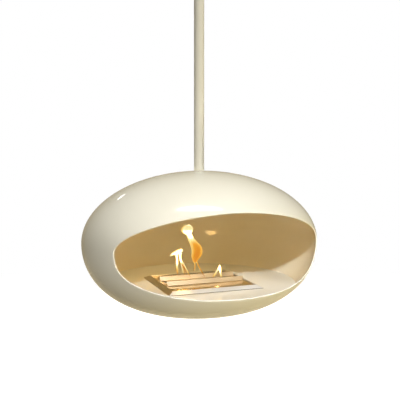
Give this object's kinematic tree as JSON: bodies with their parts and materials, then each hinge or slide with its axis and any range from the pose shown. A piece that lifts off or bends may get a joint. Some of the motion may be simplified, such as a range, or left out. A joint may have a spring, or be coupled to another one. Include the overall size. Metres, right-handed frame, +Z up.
{
  "type": "hanging fireplace",
  "caption": "Round flattened fireplace pod with an oval mouth, hung on a ceiling pole and free to turn, with a lift-out ethanol burner tray and a sliding damper.",
  "frame": {"origin": "on the pole's axis, at the top face of the ceiling plate", "axes": "+Z up; the pod hangs along -Z; its mouth faces -Y; +X is on the right of a viewer who faces the mouth"},
  "size_m": [0.6498, 0.6083, 1.4017],
  "materials": {
    "cream_paint": "satin-gloss cream paint",
    "polished_steel": "polished stainless steel",
    "brushed_steel": "brushed stainless steel",
    "bearing_steel": "ground steel",
    "cage_brass": "pressed brass",
    "black_steel": "blackened steel fixings",
    "white_polymer": "white bearing polymer",
    "ceramic_fibre": "white ceramic wool",
    "heat_rubber": "black silicone"
  },
  "bodies": {
    "mount": {"ceiling_plate": "brushed_steel", "ceiling_spigot": "brushed_steel", "cross_bolt": "black_steel", "cross_nut": "black_steel", "canopy": "cream_paint", "canopy_collar": "cream_paint", "collar_grub_screw": "black_steel", "pole": "cream_paint", "pole_plug": "bearing_steel", "plug_pins": "cream_paint", "lower_race": "bearing_steel", "race_washer": "bearing_steel", "slotted_nut": "bearing_steel", "split_pin": "bearing_steel"},
    "bearing_cage": {"ball_cage": "cage_brass", "bearing_balls": "bearing_steel"},
    "pod": {"upper_race": "bearing_steel", "bearing_cup": "brushed_steel", "pole_bush": "white_polymer", "cup_cover": "brushed_steel", "cover_screws": "black_steel", "upper_bowl": "cream_paint", "lower_bowl": "cream_paint", "hearth_plate": "cream_paint", "hearth_brackets": "cream_paint", "hearth_studs": "black_steel", "hearth_nuts": "black_steel"},
    "burner": {"tray_bezel": "polished_steel", "tray_deck": "polished_steel", "tray_well": "brushed_steel", "fuel_box": "brushed_steel", "box_feet": "heat_rubber", "ceramic_wool": "ceramic_fibre", "wool_screen": "brushed_steel", "slide_rails": "brushed_steel", "front_slat": "polished_steel", "rear_slat": "polished_steel", "slat_screws": "black_steel"},
    "damper": {"damper": "polished_steel"}
  },
  "joints": [
    {"name": "pod_swivel", "type": "hinge", "parent": "mount", "child": "pod", "pos_m": [0, 0, -1.0315], "axis": [0, 0, 1], "continuous": true},
    {"name": "cage_turn", "type": "hinge", "parent": "mount", "child": "bearing_cage", "pos_m": [0, 0, -1.0374], "axis": [0, 0, 1], "continuous": true},
    {"name": "burner_lift", "type": "slide", "parent": "pod", "child": "burner", "axis": [0, 0, 1], "range_m": [0, 0.06]},
    {"name": "damper_slide", "type": "slide", "parent": "burner", "child": "damper", "axis": [0, -1, 0], "range_m": [0, 0.0515]}
  ],
  "couplings": [
    {"joint": "cage_turn", "follows": "pod_swivel", "ratio": 0.5}
  ]
}
